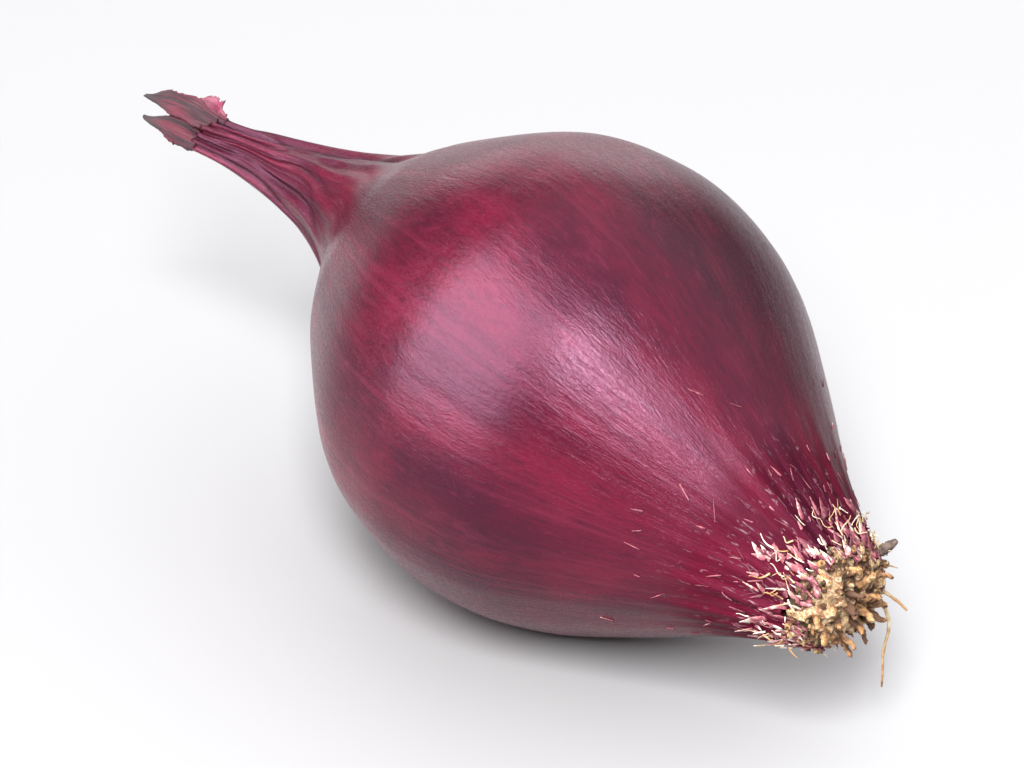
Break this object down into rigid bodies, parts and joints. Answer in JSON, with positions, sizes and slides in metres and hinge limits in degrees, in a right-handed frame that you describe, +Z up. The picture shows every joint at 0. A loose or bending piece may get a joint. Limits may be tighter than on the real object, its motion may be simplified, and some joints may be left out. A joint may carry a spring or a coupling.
{
  "type": "onion set",
  "caption": "Small dried red onion bulb for planting, lying on its side, with a drawn-out neck, withered leaf ends and a corky plate of short dried roots.",
  "frame": {"origin": "middle of the small flat spot that the bulb rests on", "axes": "+X along the bulb towards the root end, +Z up, away from the surface it lies on"},
  "size_m": [0.0462, 0.0211, 0.0209],
  "materials": {
    "onion_skin": "glossy dry papery skin, deep purple-red with fine lengthwise veins",
    "torn_skin": "torn dry skin, thin and pinkish red",
    "dry_leaf": "withered leaf ends, dull and ribbed, nearly black at the tips",
    "root_plate": "rough corky tan, dark in the crevices",
    "dried_root": "dry straw-coloured root, matt",
    "dark_root": "blackened dry root, matt"
  },
  "bodies": {
    "root": {"bulb": "onion_skin", "root_plate": "root_plate", "root_01": "dried_root", "root_02": "dried_root", "root_03": "dried_root", "root_04": "dried_root", "root_05": "dried_root", "root_06": "dried_root", "root_07": "dried_root", "root_08": "dried_root", "root_09": "dried_root", "root_10": "dried_root", "root_11": "dried_root", "root_12": "dried_root", "root_13": "dried_root", "root_14": "dried_root", "root_15": "dried_root", "root_16": "dried_root", "root_17": "dried_root", "root_18": "dried_root", "root_19": "dried_root", "root_20": "dried_root", "root_strand_1": "dried_root", "root_strand_2": "dried_root", "dark_root": "dark_root", "leaf_tip_1": "dry_leaf", "leaf_tip_2": "dry_leaf", "skin_flap": "torn_skin"}
  },
  "joints": []
}
